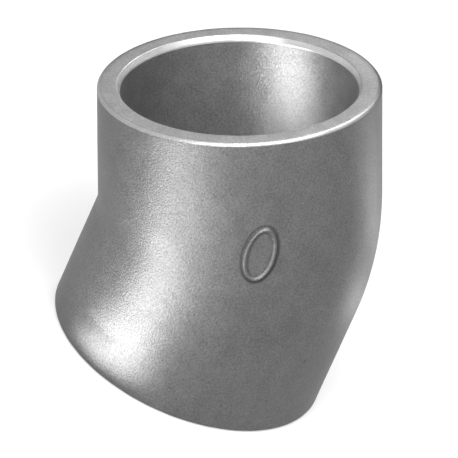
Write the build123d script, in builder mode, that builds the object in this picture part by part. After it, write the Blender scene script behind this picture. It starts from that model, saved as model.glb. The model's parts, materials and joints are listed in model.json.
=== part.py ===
# Plain-ended ductile iron pipe bend: two straight spigots joined by a short arc, cast in one piece.
#
# Frame: the origin is the centre of the lower end face and +Z runs up the lower spigot.
# The bend lies in the XZ plane, and the upper spigot leans towards -X.

import os
from math import radians, tan

from build123d import *

# Driving dimensions, in millimetres and degrees
outside_diameter = 98.0
wall_thickness = 8.1
bend_angle = 22.5
spigot_length = 40.0
throat_radius = 15.0
outer_edge_radius = 1.3
mouth_chamfer_width = 1.0
mouth_chamfer_depth = 2.0

# Blank oval pad with a raised border, cast on the side of the bend
pad_length = 20.8
pad_width = 11.7
pad_floor_height = 0.3
pad_border_height = 0.9
pad_border_width = 1.4
pad_draft = 20.0
pad_root_depth = 2.0
pad_azimuth = 28.0
pad_tilt = 14.0
pad_share_of_bend = 0.95

# Sizes that follow from the ones above
outside_radius = outside_diameter / 2
bore_radius = outside_radius - wall_thickness
centreline_radius = outside_radius + throat_radius

# Centre line of the pipe, drawn in the plane of the bend
with BuildLine(Plane.XZ) as centre_line:
    lower_run = Line((0, 0), (0, spigot_length))
    bend_run = JernArc(lower_run @ 1, lower_run % 1, centreline_radius, bend_angle)
    upper_run = PolarLine(bend_run @ 1, spigot_length, direction=bend_run % 1)


def round_bar(radius):
    """A solid bar of this radius along the whole centre line."""
    with BuildPart() as bar:
        with BuildSketch(Plane.XY):
            Circle(radius)
        sweep(path=centre_line.wire())
    return bar.part


# The pad sits near the upper end of the bend. Its normal is turned about the centre line there,
# from the -Y flank towards the outside of the bend, and the top of the oval leans the same way.
pad_centre = bend_run @ pad_share_of_bend
pad_direction = bend_run % pad_share_of_bend
pad_normal = Vector(0, -1, 0).rotate(Axis((0, 0, 0), pad_direction), pad_azimuth)
pad_long_axis = pad_direction.rotate(Axis((0, 0, 0), pad_normal), -pad_tilt)
pad_plane = Plane(pad_centre, x_dir=pad_long_axis, z_dir=pad_normal).offset(outside_radius)


def drafted_oval(length, width, draft):
    """An oval prism of this size at the pipe's surface, drawing in outwards by the draft angle."""
    spread = pad_root_depth * tan(radians(draft))
    with BuildPart() as prism:
        with BuildSketch(pad_plane.offset(-pad_root_depth)):
            Ellipse(length / 2 + spread, width / 2 + spread)
        extrude(amount=pad_root_depth + 2 * pad_border_height, taper=draft)
    return prism.part


with BuildPart() as pad:
    add(drafted_oval(pad_length, pad_width, pad_draft))
    add(round_bar(outside_radius + pad_border_height), mode=Mode.INTERSECT)

with BuildPart() as pad_recess:
    add(drafted_oval(pad_length - 2 * pad_border_width, pad_width - 2 * pad_border_width, -pad_draft))
    add(round_bar(outside_radius + pad_floor_height), mode=Mode.SUBTRACT)

# The whole casting
with BuildPart() as bend:
    add(round_bar(outside_radius))
    add(pad.part)
    add(pad_recess.part, mode=Mode.SUBTRACT)
    add(round_bar(bore_radius), mode=Mode.SUBTRACT)

    # Outer rims are rounded over and the mouths of the bore are chamfered, the same at both ends
    rim_edges = bend.faces().filter_by(GeomType.PLANE).edges().group_by(SortBy.RADIUS)[-1]
    fillet(rim_edges, outer_edge_radius)
    for end in (0, -1):
        end_face = bend.faces().filter_by(GeomType.PLANE).sort_by(Axis.Z)[end]
        mouth_edge = end_face.edges().sort_by(SortBy.RADIUS)[0]
        chamfer(mouth_edge, mouth_chamfer_width, mouth_chamfer_depth, reference=end_face)

bend.part.label = "bend"

os.makedirs("parts", exist_ok=True)
export_step(bend.part, "parts/bend.step")
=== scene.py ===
import json
import math

import bpy
import numpy as np
from mathutils import Matrix, Quaternion, Vector, noise


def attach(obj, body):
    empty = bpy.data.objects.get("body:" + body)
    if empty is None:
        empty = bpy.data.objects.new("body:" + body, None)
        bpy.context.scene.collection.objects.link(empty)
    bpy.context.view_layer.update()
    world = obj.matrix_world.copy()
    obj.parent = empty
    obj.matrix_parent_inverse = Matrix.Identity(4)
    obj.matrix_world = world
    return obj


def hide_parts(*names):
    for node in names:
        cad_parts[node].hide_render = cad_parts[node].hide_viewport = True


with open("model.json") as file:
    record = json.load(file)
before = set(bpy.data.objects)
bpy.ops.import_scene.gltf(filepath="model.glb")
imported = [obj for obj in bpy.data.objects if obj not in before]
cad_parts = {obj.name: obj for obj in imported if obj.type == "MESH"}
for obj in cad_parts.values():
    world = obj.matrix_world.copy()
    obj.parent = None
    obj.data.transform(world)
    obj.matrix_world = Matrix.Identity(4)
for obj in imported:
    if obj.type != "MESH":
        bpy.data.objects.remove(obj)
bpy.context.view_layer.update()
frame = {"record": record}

# Sizes, in metres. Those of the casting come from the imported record's interfaces
MM = 0.001
mounts = {m["name"]: m for m in frame["record"]["mounts"]}
outer_edge_radius = 1.3 * MM
mouth_chamfer_width = 1.0 * MM
mouth_chamfer_depth = 2.0 * MM
mouth_edge_radius = 0.6 * MM
mouth_blend_radius = 2.0 * MM

outside_radius = mounts["lower_spigot"]["dims"]["r_mm"] * MM
bore_radius = mounts["lower_bore"]["dims"]["r_mm"] * MM
upper_end = Vector(mounts["upper_end"]["pos_m"])
upper_axis = Vector(mounts["upper_end"]["axis"]).normalized()

bend_angle = math.atan2(-upper_axis.x, upper_axis.z)
spigot_length = mounts["lower_spigot"]["dims"]["length_mm"] * MM + outer_edge_radius
corner_height = upper_end.z / (1 + math.cos(bend_angle))
centreline_radius = (corner_height - spigot_length) / math.tan(bend_angle / 2)
arc_length = centreline_radius * bend_angle
total_length = 2 * spigot_length + arc_length

# Blank oval pad with a raised border, near the upper end of the arc
pad_length = 20.8 * MM
pad_width = 11.7 * MM
pad_floor_height = 0.3 * MM
pad_border_height = 0.9 * MM
pad_border_width = 1.4 * MM
pad_azimuth = math.radians(28)
pad_tilt = math.radians(14)
pad_station = spigot_length + 0.95 * arc_length

# Relief of the sand-cast skin. It only ever goes inwards from the nominal surface
wave_length = 24 * MM
wave_depth = 0.11 * MM
ripple_length = 6.5 * MM
ripple_depth = 0.03 * MM
rim_wear_length = 5 * MM
rim_wear_depth = 0.12 * MM
seam_half_width = 1.1 * MM
seam_height = 0.08 * MM
# Painted light on the end's rounding: how its painted highlight fades, and the strength and width of the painted
# shade on the far side
rounding_band_fade = math.radians(15)
far_side_shade = 1.0
edge_band_width = 1.6 * MM

# Share of the skin's look that is metal
metallic = 0.8

# Spacing of the mesh over the casting, closer round the pad
coarse_spacing = 1.2 * MM
fine_spacing = 0.34 * MM
bore_spacing = 1.5 * MM
face_spacing = 0.9 * MM
focus_margin = 1.5 * MM
focus_blend = 4 * MM

# The photograph's viewing angle and frame
view_azimuth = math.radians(8.47)
view_elevation = math.radians(30.76)
view_roll = math.radians(24.38)
camera_distance = 3.858
photo_width = 157.55 * MM
aim_right = -3.88 * MM
aim_up = -1.73 * MM
sensor_width = 36.0

# Studio
softbox_distance = 0.55
world_strength = 0.45


def smooth_step(x):
    """0 below 0, 1 above 1, and an even curve between."""
    x = np.clip(x, 0, 1)
    return x * x * (3 - 2 * x)


def centre_line(t):
    """Point, direction and outer side of the pipe's centre line at each distance t along it."""
    turn = np.clip((t - spigot_length) / centreline_radius, 0, bend_angle)
    before = np.minimum(t, spigot_length)
    after = np.maximum(t - spigot_length - arc_length, 0)
    x = centreline_radius * (np.cos(turn) - 1) - after * math.sin(bend_angle)
    z = before + centreline_radius * np.sin(turn) + after * math.cos(bend_angle)
    flat = np.zeros_like(t)
    point = np.stack([x, flat, z], -1)
    direction = np.stack([-np.sin(turn), flat, np.cos(turn)], -1)
    outer_side = np.stack([np.cos(turn), flat, np.sin(turn)], -1)
    return point, direction, outer_side


def graded(start, end, focus, half_width, fine, coarse):
    """Positions from start to end, closer together within half_width of focus."""
    x = np.linspace(start, end, 4001)
    away = smooth_step((np.abs(x - focus) - half_width) / focus_blend)
    spacing = fine + (coarse - fine) * away
    count = np.concatenate([[0], np.cumsum(np.diff(x) * 2 / (spacing[1:] + spacing[:-1]))])
    steps = math.ceil(count[-1])
    return np.interp(np.linspace(0, count[-1], steps + 1), count, x)


def even(start, end, spacing):
    """Positions from start to end at about this spacing."""
    return np.linspace(start, end, max(1, round(abs(end - start) / spacing)) + 1)


def wall_section():
    """The closed outline of the pipe wall as rows of distance along, radius, and outward normal in those
    two directions, with the kind of surface of each row."""
    far = total_length
    mouth = bore_radius + mouth_chamfer_width
    corners = [
        (0, outside_radius, outer_edge_radius, 7),
        (far, outside_radius, outer_edge_radius, 7),
        (far, mouth, mouth_edge_radius, 4),
        (far - mouth_chamfer_depth, bore_radius, mouth_blend_radius, 4),
        (mouth_chamfer_depth, bore_radius, mouth_blend_radius, 4),
        (0, mouth, mouth_edge_radius, 4),
    ]
    kinds = ["skin", "face", "chamfer", "bore", "chamfer", "face"]
    corner_kinds = {outer_edge_radius: "rim", mouth_edge_radius: "face", mouth_blend_radius: "chamfer"}
    rows, row_kinds = [], []
    setback = []
    for i, (t, r, radius, steps) in enumerate(corners):
        here = np.array([t, r])
        back = np.array(corners[i - 1][:2]) - here
        on = np.array(corners[(i + 1) % 6][:2]) - here
        back, on = back / np.linalg.norm(back), on / np.linalg.norm(on)
        half = math.acos(np.clip(back @ on, -1, 1)) / 2
        setback.append((here + back * radius / math.tan(half), here + on * radius / math.tan(half),
                        here + (back + on) / np.linalg.norm(back + on) * radius / math.sin(half)))
    for i, (t, r, radius, steps) in enumerate(corners):
        first, last, centre = setback[i]
        # the corner's arc
        start = math.atan2(*(first - centre)[::-1])
        sweep = math.remainder(math.atan2(*(last - centre)[::-1]) - start, 2 * math.pi)
        for a in start + sweep * np.linspace(0, 1, steps + 1):
            normal = np.array([math.cos(a), math.sin(a)])
            rows.append([*(centre + radius * normal), *normal])
            row_kinds.append(corner_kinds[radius])
        row_kinds[-1] = kinds[i]
        # the straight run to the next corner
        run_start, run_end = last, setback[(i + 1) % 6][0]
        length = np.linalg.norm(run_end - run_start)
        along = (run_end - run_start) / length
        normal = np.array([-along[1], along[0]])
        if kinds[i] == "skin":
            reach = pad_length / 2 + focus_margin
            places = graded(0, length, pad_station - run_start[0], reach, fine_spacing, coarse_spacing)
        elif kinds[i] == "bore":
            places = even(0, length, bore_spacing)
        elif kinds[i] == "face":
            places = even(0, length, face_spacing)
        else:
            places = even(0, length, mouth_chamfer_depth / 3)
        for place in places[1:-1]:
            rows.append([*(run_start + along * place), *normal])
            row_kinds.append(kinds[i])
    return np.array(rows), np.array(row_kinds)


def raised_pad(points, normals):
    """Height of the raised oval above the skin at each point, and the painted shade at the foot of its border,
    inside and out.
    """
    point, direction, outer_side = (v[0] for v in centre_line(np.array([pad_station])))
    flank = np.array([0, -1.0, 0])
    side = np.array([0, 1.0, 0])
    normal = math.cos(pad_azimuth) * flank + math.sin(pad_azimuth) * outer_side
    round_pipe = math.cos(pad_azimuth) * outer_side + math.sin(pad_azimuth) * side
    long_axis = math.cos(pad_tilt) * direction + math.sin(pad_tilt) * round_pipe
    short_axis = np.cross(normal, long_axis)
    away = points - (point + normal * outside_radius)
    a = away @ long_axis / (pad_length / 2)
    b = away @ short_axis / (pad_width / 2)
    size = np.maximum(np.hypot(a, b), 1e-6)
    slope = np.hypot(a / (pad_length / 2), b / (pad_width / 2)) / size
    outwards = (size - 1) / np.maximum(slope, 1e-6)
    facing = (normals @ normal) > 0.5
    soft = 0.2 * MM
    rise = smooth_step((soft - outwards) / (1.1 * MM))
    fall = smooth_step((-pad_border_width + soft - outwards) / (0.75 * MM))
    height = pad_border_height * rise - (pad_border_height - pad_floor_height) * fall
    # Painted shade: a dark line round the outer foot of the border, and a fainter one at its inner foot
    outer_foot = smooth_step(1.3 - np.abs(outwards - 0.1 * MM) / (0.8 * MM))
    inner_foot = smooth_step(1.2 - np.abs(outwards + pad_border_width + 0.6 * MM) / (0.6 * MM))
    painted_shade = np.maximum(outer_foot, 0.6 * inner_foot)
    return np.where(facing, height, 0), np.where(facing, painted_shade, 0)


def noise_at(points, length, seed):
    """Smooth noise from about -1 to 1 with features of this length."""
    shift = Vector((seed * 7.3, seed * 3.1, seed * 5.7))
    return np.array([noise.noise(Vector(p) / length + shift) for p in points])


def casting():
    """The whole casting as one closed mesh: the wall's section carried round and along the centre line."""
    rows, row_kinds = wall_section()
    circumference = 2 * math.pi * outside_radius
    reach = pad_width / 2 + focus_margin
    around = graded(-circumference / 2, circumference / 2, 0, reach, fine_spacing, coarse_spacing)
    azimuths = pad_azimuth + around[:-1] / outside_radius

    point, direction, outer_side = centre_line(rows[:, 0])
    n_rows, n_round = len(rows), len(azimuths)
    side = np.array([0, -1.0, 0])
    radial = (np.cos(azimuths)[None, :, None] * side
              + np.sin(azimuths)[None, :, None] * outer_side[:, None, :])
    points = point[:, None, :] + rows[:, 1][:, None, None] * radial
    normals = rows[:, 2][:, None, None] * direction[:, None, :] + rows[:, 3][:, None, None] * radial
    points, normals = points.reshape(-1, 3), normals.reshape(-1, 3)
    kinds = np.repeat(row_kinds, n_round)
    azimuth = np.tile(azimuths, n_rows)

    # How much of the cast relief each row takes, eased from one kind of surface to the next
    cast = np.isin(row_kinds, ["skin", "rim", "bore"]) * 1.0
    on_rim = (row_kinds == "rim") * 1.0
    on_skin = (row_kinds == "skin") * 1.0
    for _ in range(4):
        cast, on_rim, on_skin = (np.roll(w, 1) / 4 + w / 2 + np.roll(w, -1) / 4 for w in (cast, on_rim, on_skin))
    cast, on_rim, on_skin = (np.repeat(w, n_round) for w in (cast, on_rim, on_skin))

    waves = noise_at(points, wave_length, 1)
    ripples = noise_at(points, ripple_length, 2)
    wear = noise_at(points, rim_wear_length, 3)
    relief = (0.15 + 0.85 * cast) * ((waves - 1) * wave_depth + (ripples - 1) * ripple_depth) / 2
    relief += on_rim * (wear - 1) * rim_wear_depth / 2
    from_seam = np.abs(np.cos(azimuth)) * outside_radius
    seam = smooth_step(1.5 - from_seam / seam_half_width) * seam_height * (0.6 + 0.4 * ripples)
    relief += on_skin * (seam - seam_height)
    height, painted_shade = raised_pad(points, normals)
    relief += on_skin * height
    points = points + normals * relief[:, None]
    # Painted light on the upper end's rounding: a painted highlight on the pad's side, and painted shade over
    # the outer edge on the far side
    lean = np.arccos(np.clip(rows[:, 2], -1, 1)) / rounding_band_fade
    rounding_band = (row_kinds == "rim") * smooth_step(lean) * smooth_step(math.pi / 2 / rounding_band_fade - lean)
    lit_side = smooth_step(0.5 + 1.2 * np.cos(azimuth))
    painted_highlight = np.repeat(rounding_band, n_round) * lit_side
    edge = smooth_step((rows[:, 1] - outside_radius + outer_edge_radius) / edge_band_width + 1)
    edge_band = np.repeat(edge * smooth_step(3 * np.abs(rows[:, 2])), n_round)
    # Painted shade at the foot of the pad's border, and on the outer edge on the far side
    painted_shade = np.maximum(on_skin * painted_shade, far_side_shade * edge_band * (1 - lit_side))

    mesh = bpy.data.meshes.new("casting")
    ring = np.arange(n_round)
    index = (np.arange(n_rows)[:, None] * n_round + ring).astype(int)
    below, right = np.roll(index, -1, axis=0), np.roll(index, -1, axis=1)
    across = np.roll(below, -1, axis=1)
    quads = np.stack([index, right, across, below], -1).reshape(-1, 4)
    mesh.from_pydata(points.tolist(), [], quads.tolist())
    mesh.attributes.new("painted_shade", "FLOAT", "POINT").data.foreach_set("value", painted_shade)
    mesh.attributes.new("painted_highlight", "FLOAT", "POINT").data.foreach_set("value", painted_highlight)
    mesh.shade_smooth()
    piece = bpy.data.objects.new("casting", mesh)
    bpy.context.collection.objects.link(piece)
    face_kinds = np.repeat(row_kinds, n_round)
    return piece, face_kinds


def add(tree, kind, **values):
    """A new shader node, with its properties and inputs set by name."""
    node = tree.nodes.new(kind)
    for name, value in values.items():
        label = name.replace("_", " ")
        if hasattr(node, name):
            setattr(node, name, value)
        else:
            sockets = [s for s in node.inputs if s.name.lower() == label.lower() and s.enabled]
            if hasattr(value, "is_output"):
                tree.links.new(value, sockets[0])
            else:
                sockets[0].default_value = value
    return node


def math_node(tree, operation, *values):
    """A math node on these values, each a number or another node's output."""
    node = tree.nodes.new("ShaderNodeMath")
    node.operation = operation
    for socket, value in zip(node.inputs, values):
        if hasattr(value, "is_output"):
            tree.links.new(value, socket)
        else:
            socket.default_value = value
    return node.outputs[0]


def vary(tree, value, amount, around):
    """A factor around this level that follows a texture's value, which runs about 0.5."""
    offset = math_node(tree, "SUBTRACT", value, 0.5)
    return math_node(tree, "MULTIPLY_ADD", offset, amount, around)


def iron(name, tone, roughness, grain_length, grain_depth, speckle):
    """Grey cast iron: a sandy grain, mottled tone, a few dark pits, and the painted shade and painted highlight
    that the mesh holds.
    """
    material = bpy.data.materials.new(name)
    material.use_nodes = True
    tree = material.node_tree
    shader = tree.nodes["Principled BSDF"]
    place = add(tree, "ShaderNodeTexCoord").outputs["Object"]

    grain = add(tree, "ShaderNodeTexNoise", Vector=place, Scale=1 / grain_length, Detail=2.0,
                Roughness=0.6).outputs[0]
    cloud = add(tree, "ShaderNodeTexNoise", Vector=place, Scale=40.0, Detail=4.0).outputs[0]
    patch = add(tree, "ShaderNodeTexNoise", Vector=place, Scale=190.0, Detail=2.0).outputs[0]
    # Painted shade from the mesh: it darkens the tone and makes it rougher
    painted_shade = add(tree, "ShaderNodeAttribute", attribute_name="painted_shade").outputs["Fac"]

    # Pits are small, and only some cells hold one
    cell = add(tree, "ShaderNodeTexVoronoi", Vector=place, Scale=160.0)
    cell_number = add(tree, "ShaderNodeSeparateColor", Color=cell.outputs["Color"]).outputs[0]
    near_centre = add(tree, "ShaderNodeMapRange", Value=cell.outputs["Distance"],
                      From_Min=0.15, From_Max=0.06).outputs[0]
    pit = math_node(tree, "MULTIPLY", near_centre, math_node(tree, "GREATER_THAN", cell_number, 0.93))

    level = tone
    for factor in (vary(tree, grain, speckle, 1.0), vary(tree, cloud, 0.35, 1.0), vary(tree, patch, 0.3, 1.0),
                   math_node(tree, "MULTIPLY_ADD", pit, -0.4, 1.0),
                   math_node(tree, "MULTIPLY_ADD", painted_shade, -0.6, 1.0)):
        level = math_node(tree, "MULTIPLY", factor, level)
    # Painted highlight from the mesh, on the near side of the rounding: it lightens the tone
    painted_highlight = add(tree, "ShaderNodeAttribute", attribute_name="painted_highlight").outputs["Fac"]
    level = math_node(tree, "MULTIPLY_ADD", painted_highlight, 0.3, level)
    colour = add(tree, "ShaderNodeCombineColor", Red=level, Green=level, Blue=level)
    tree.links.new(colour.outputs[0], shader.inputs["Base Color"])

    rough = math_node(tree, "MULTIPLY_ADD", painted_shade, 0.2, vary(tree, patch, 0.14, roughness))
    tree.links.new(rough, shader.inputs["Roughness"])

    height = math_node(tree, "MULTIPLY_ADD", pit, -1.0, grain)
    bump = add(tree, "ShaderNodeBump", Height=height, Distance=grain_depth)
    tree.links.new(bump.outputs[0], shader.inputs["Normal"])
    shader.inputs["Metallic"].default_value = metallic
    return material


def panel(name, place, facing, along, width, length, power):
    """A flat lamp that faces one way, with its length along another, and fades out towards its edges."""
    lamp = bpy.data.lights.new(name, "AREA")
    lamp.shape = "RECTANGLE"
    lamp.size, lamp.size_y, lamp.energy = width, length, power
    lamp.use_nodes = True
    tree = lamp.node_tree
    place_on = add(tree, "ShaderNodeNewGeometry").outputs["Parametric"]
    parts = add(tree, "ShaderNodeSeparateXYZ", Vector=place_on).outputs
    level = 36.0
    for share in (parts["X"], parts["Y"]):
        rest = math_node(tree, "SUBTRACT", 1.0, share)
        level = math_node(tree, "MULTIPLY", level, math_node(tree, "MULTIPLY", share, rest))
    tree.links.new(level, tree.nodes["Emission"].inputs["Strength"])
    holder = bpy.data.objects.new(name, lamp)
    bpy.context.collection.objects.link(holder)
    back = -Vector(facing).normalized()
    side = Vector(along).cross(back).normalized()
    turn = Matrix((side, back.cross(side), back)).transposed()
    holder.matrix_world = Matrix.Translation(place) @ turn.to_4x4()
    holder.visible_camera = False


def softbox(name, azimuth, elevation, width, height, power):
    """A panel beyond the casting that faces it, placed by its angles from the viewer and the horizon."""
    across, rise = math.radians(azimuth) + view_azimuth, math.radians(elevation)
    way = Vector((math.sin(across) * math.cos(rise), -math.cos(across) * math.cos(rise), math.sin(rise)))
    panel(name, middle + way * softbox_distance, -way, (0, 0, 1), width, height, power)


# Camera
camera_back = Vector((math.sin(view_azimuth) * math.cos(view_elevation),
                      -math.cos(view_azimuth) * math.cos(view_elevation), math.sin(view_elevation)))
camera_turn = (-camera_back).to_track_quat("-Z", "Y") @ Quaternion((0, 0, 1), view_roll)
camera_right = camera_turn @ Vector((1, 0, 0))
camera_up = camera_turn @ Vector((0, 1, 0))
middle = Vector((0, 0, corner_height))
lens = bpy.data.cameras.new("camera")
lens.sensor_width = sensor_width
lens.lens = sensor_width * camera_distance / photo_width
lens.clip_end = 30
camera = bpy.data.objects.new("camera", lens)
bpy.context.collection.objects.link(camera)
camera.rotation_mode = "QUATERNION"
camera.rotation_quaternion = camera_turn
camera.location = middle + camera_right * aim_right + camera_up * aim_up + camera_back * camera_distance
bpy.context.scene.camera = camera
bpy.context.scene.view_settings.view_transform = "Standard"

# Casting
piece, face_kinds = casting()
slots = {"skin": 0, "rim": 0, "bore": 1, "chamfer": 3, "face": 2}
piece.data.materials.append(iron("cast_skin", 0.22, 0.40, 0.62 * MM, 0.14 * MM, 1.2))
piece.data.materials.append(iron("bore_skin", 0.22, 0.38, 0.62 * MM, 0.12 * MM, 1.2))
piece.data.materials.append(iron("ground_end", 0.42, 0.38, 0.6 * MM, 0.07 * MM, 1.2))
piece.data.materials.append(iron("bright_edge", 0.68, 0.34, 0.6 * MM, 0.03 * MM, 0.4))
piece.data.polygons.foreach_set("material_index", [slots[k] for k in face_kinds])
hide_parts("bend")
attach(piece, "root")

# Floor and world: plain, pale, and white where the camera or a reflection sees them
floor_mesh = bpy.data.meshes.new("floor")
reach = 4.0
floor_mesh.from_pydata([(-reach, -reach, 0), (reach, -reach, 0), (reach, reach, 0), (-reach, reach, 0)],
                       [], [(0, 1, 2, 3)])
floor = bpy.data.objects.new("floor", floor_mesh)
bpy.context.collection.objects.link(floor)
floor_material = bpy.data.materials.new("floor")
floor_material.use_nodes = True
tree = floor_material.node_tree
shader = tree.nodes["Principled BSDF"]
shader.inputs["Roughness"].default_value = 0.9
shader.inputs["Specular IOR Level"].default_value = 0.0
white = add(tree, "ShaderNodeEmission", Color=(1, 1, 1, 1), Strength=1.0)
ray = add(tree, "ShaderNodeLightPath").outputs
bounce = math_node(tree, "MULTIPLY_ADD", ray["Is Camera Ray"], 0.70, 0.15)
colour = add(tree, "ShaderNodeCombineColor", Red=bounce, Green=bounce, Blue=bounce)
tree.links.new(colour.outputs[0], shader.inputs["Base Color"])
mirrored = math_node(tree, "MAXIMUM", ray["Is Glossy Ray"], ray["Is Transmission Ray"])
seen = math_node(tree, "MULTIPLY", math_node(tree, "MAXIMUM", ray["Is Camera Ray"], mirrored), 0.5)
mix = tree.nodes.new("ShaderNodeMixShader")
tree.links.new(seen, mix.inputs[0])
tree.links.new(shader.outputs[0], mix.inputs[1])
tree.links.new(white.outputs[0], mix.inputs[2])
tree.links.new(mix.outputs[0], tree.nodes["Material Output"].inputs[0])
floor_mesh.materials.append(floor_material)

world = bpy.data.worlds.new("studio")
bpy.context.scene.world = world
world.use_nodes = True
tree = world.node_tree
background = tree.nodes["Background"]
ray = add(tree, "ShaderNodeLightPath")
level = math_node(tree, "MAXIMUM", ray.outputs["Is Camera Ray"], world_strength)
tree.links.new(level, background.inputs["Strength"])
background.inputs["Color"].default_value = (1, 1, 1, 1)

# Softboxes round the casting
softbox("top", 5, 68, 0.40, 0.44, 4.0)
softbox("front", -35, 45, 0.30, 0.18, 0.5)
softbox("back", 180, 48, 0.20, 0.20, 1.0)
softbox("key", -15, 18, 0.07, 0.07, 1.0)

# Light strips that lie on the floor and one inside the pipe, for the long soft highlights on its walls
up = (0, 0, 1)
panel("strip_foot", (-0.027, -0.058, 0.0015), up, (0.90, -0.43, 0), 0.028, 0.060, 0.007)
panel("strip_near", (-0.043, -0.090, 0.0015), up, (-0.50, -0.87, 0), 0.060, 0.096, 0.062)
panel("strip_far", (-0.056, -0.180, 0.0015), up, (-0.05, 1, 0), 0.064, 0.190, 0.112)
panel("strip_front", (-0.006, -0.165, 0.0015), up, (0, 1, 0), 0.050, 0.050, 0.027)
panel("strip_back", (0.190, 0.245, 0.0015), up, (0.6, 0.8, 0), 0.080, 0.200, 0.140)
panel("strip_side", (0.110, 0.085, 0.0015), up, (0.8, 0.6, 0), 0.060, 0.080, 0.018)
panel("strip_inside", (-0.0312, -0.0158, 0.056), (0.85, 0.42, 0.70), up, 0.013, 0.030, 0.036)
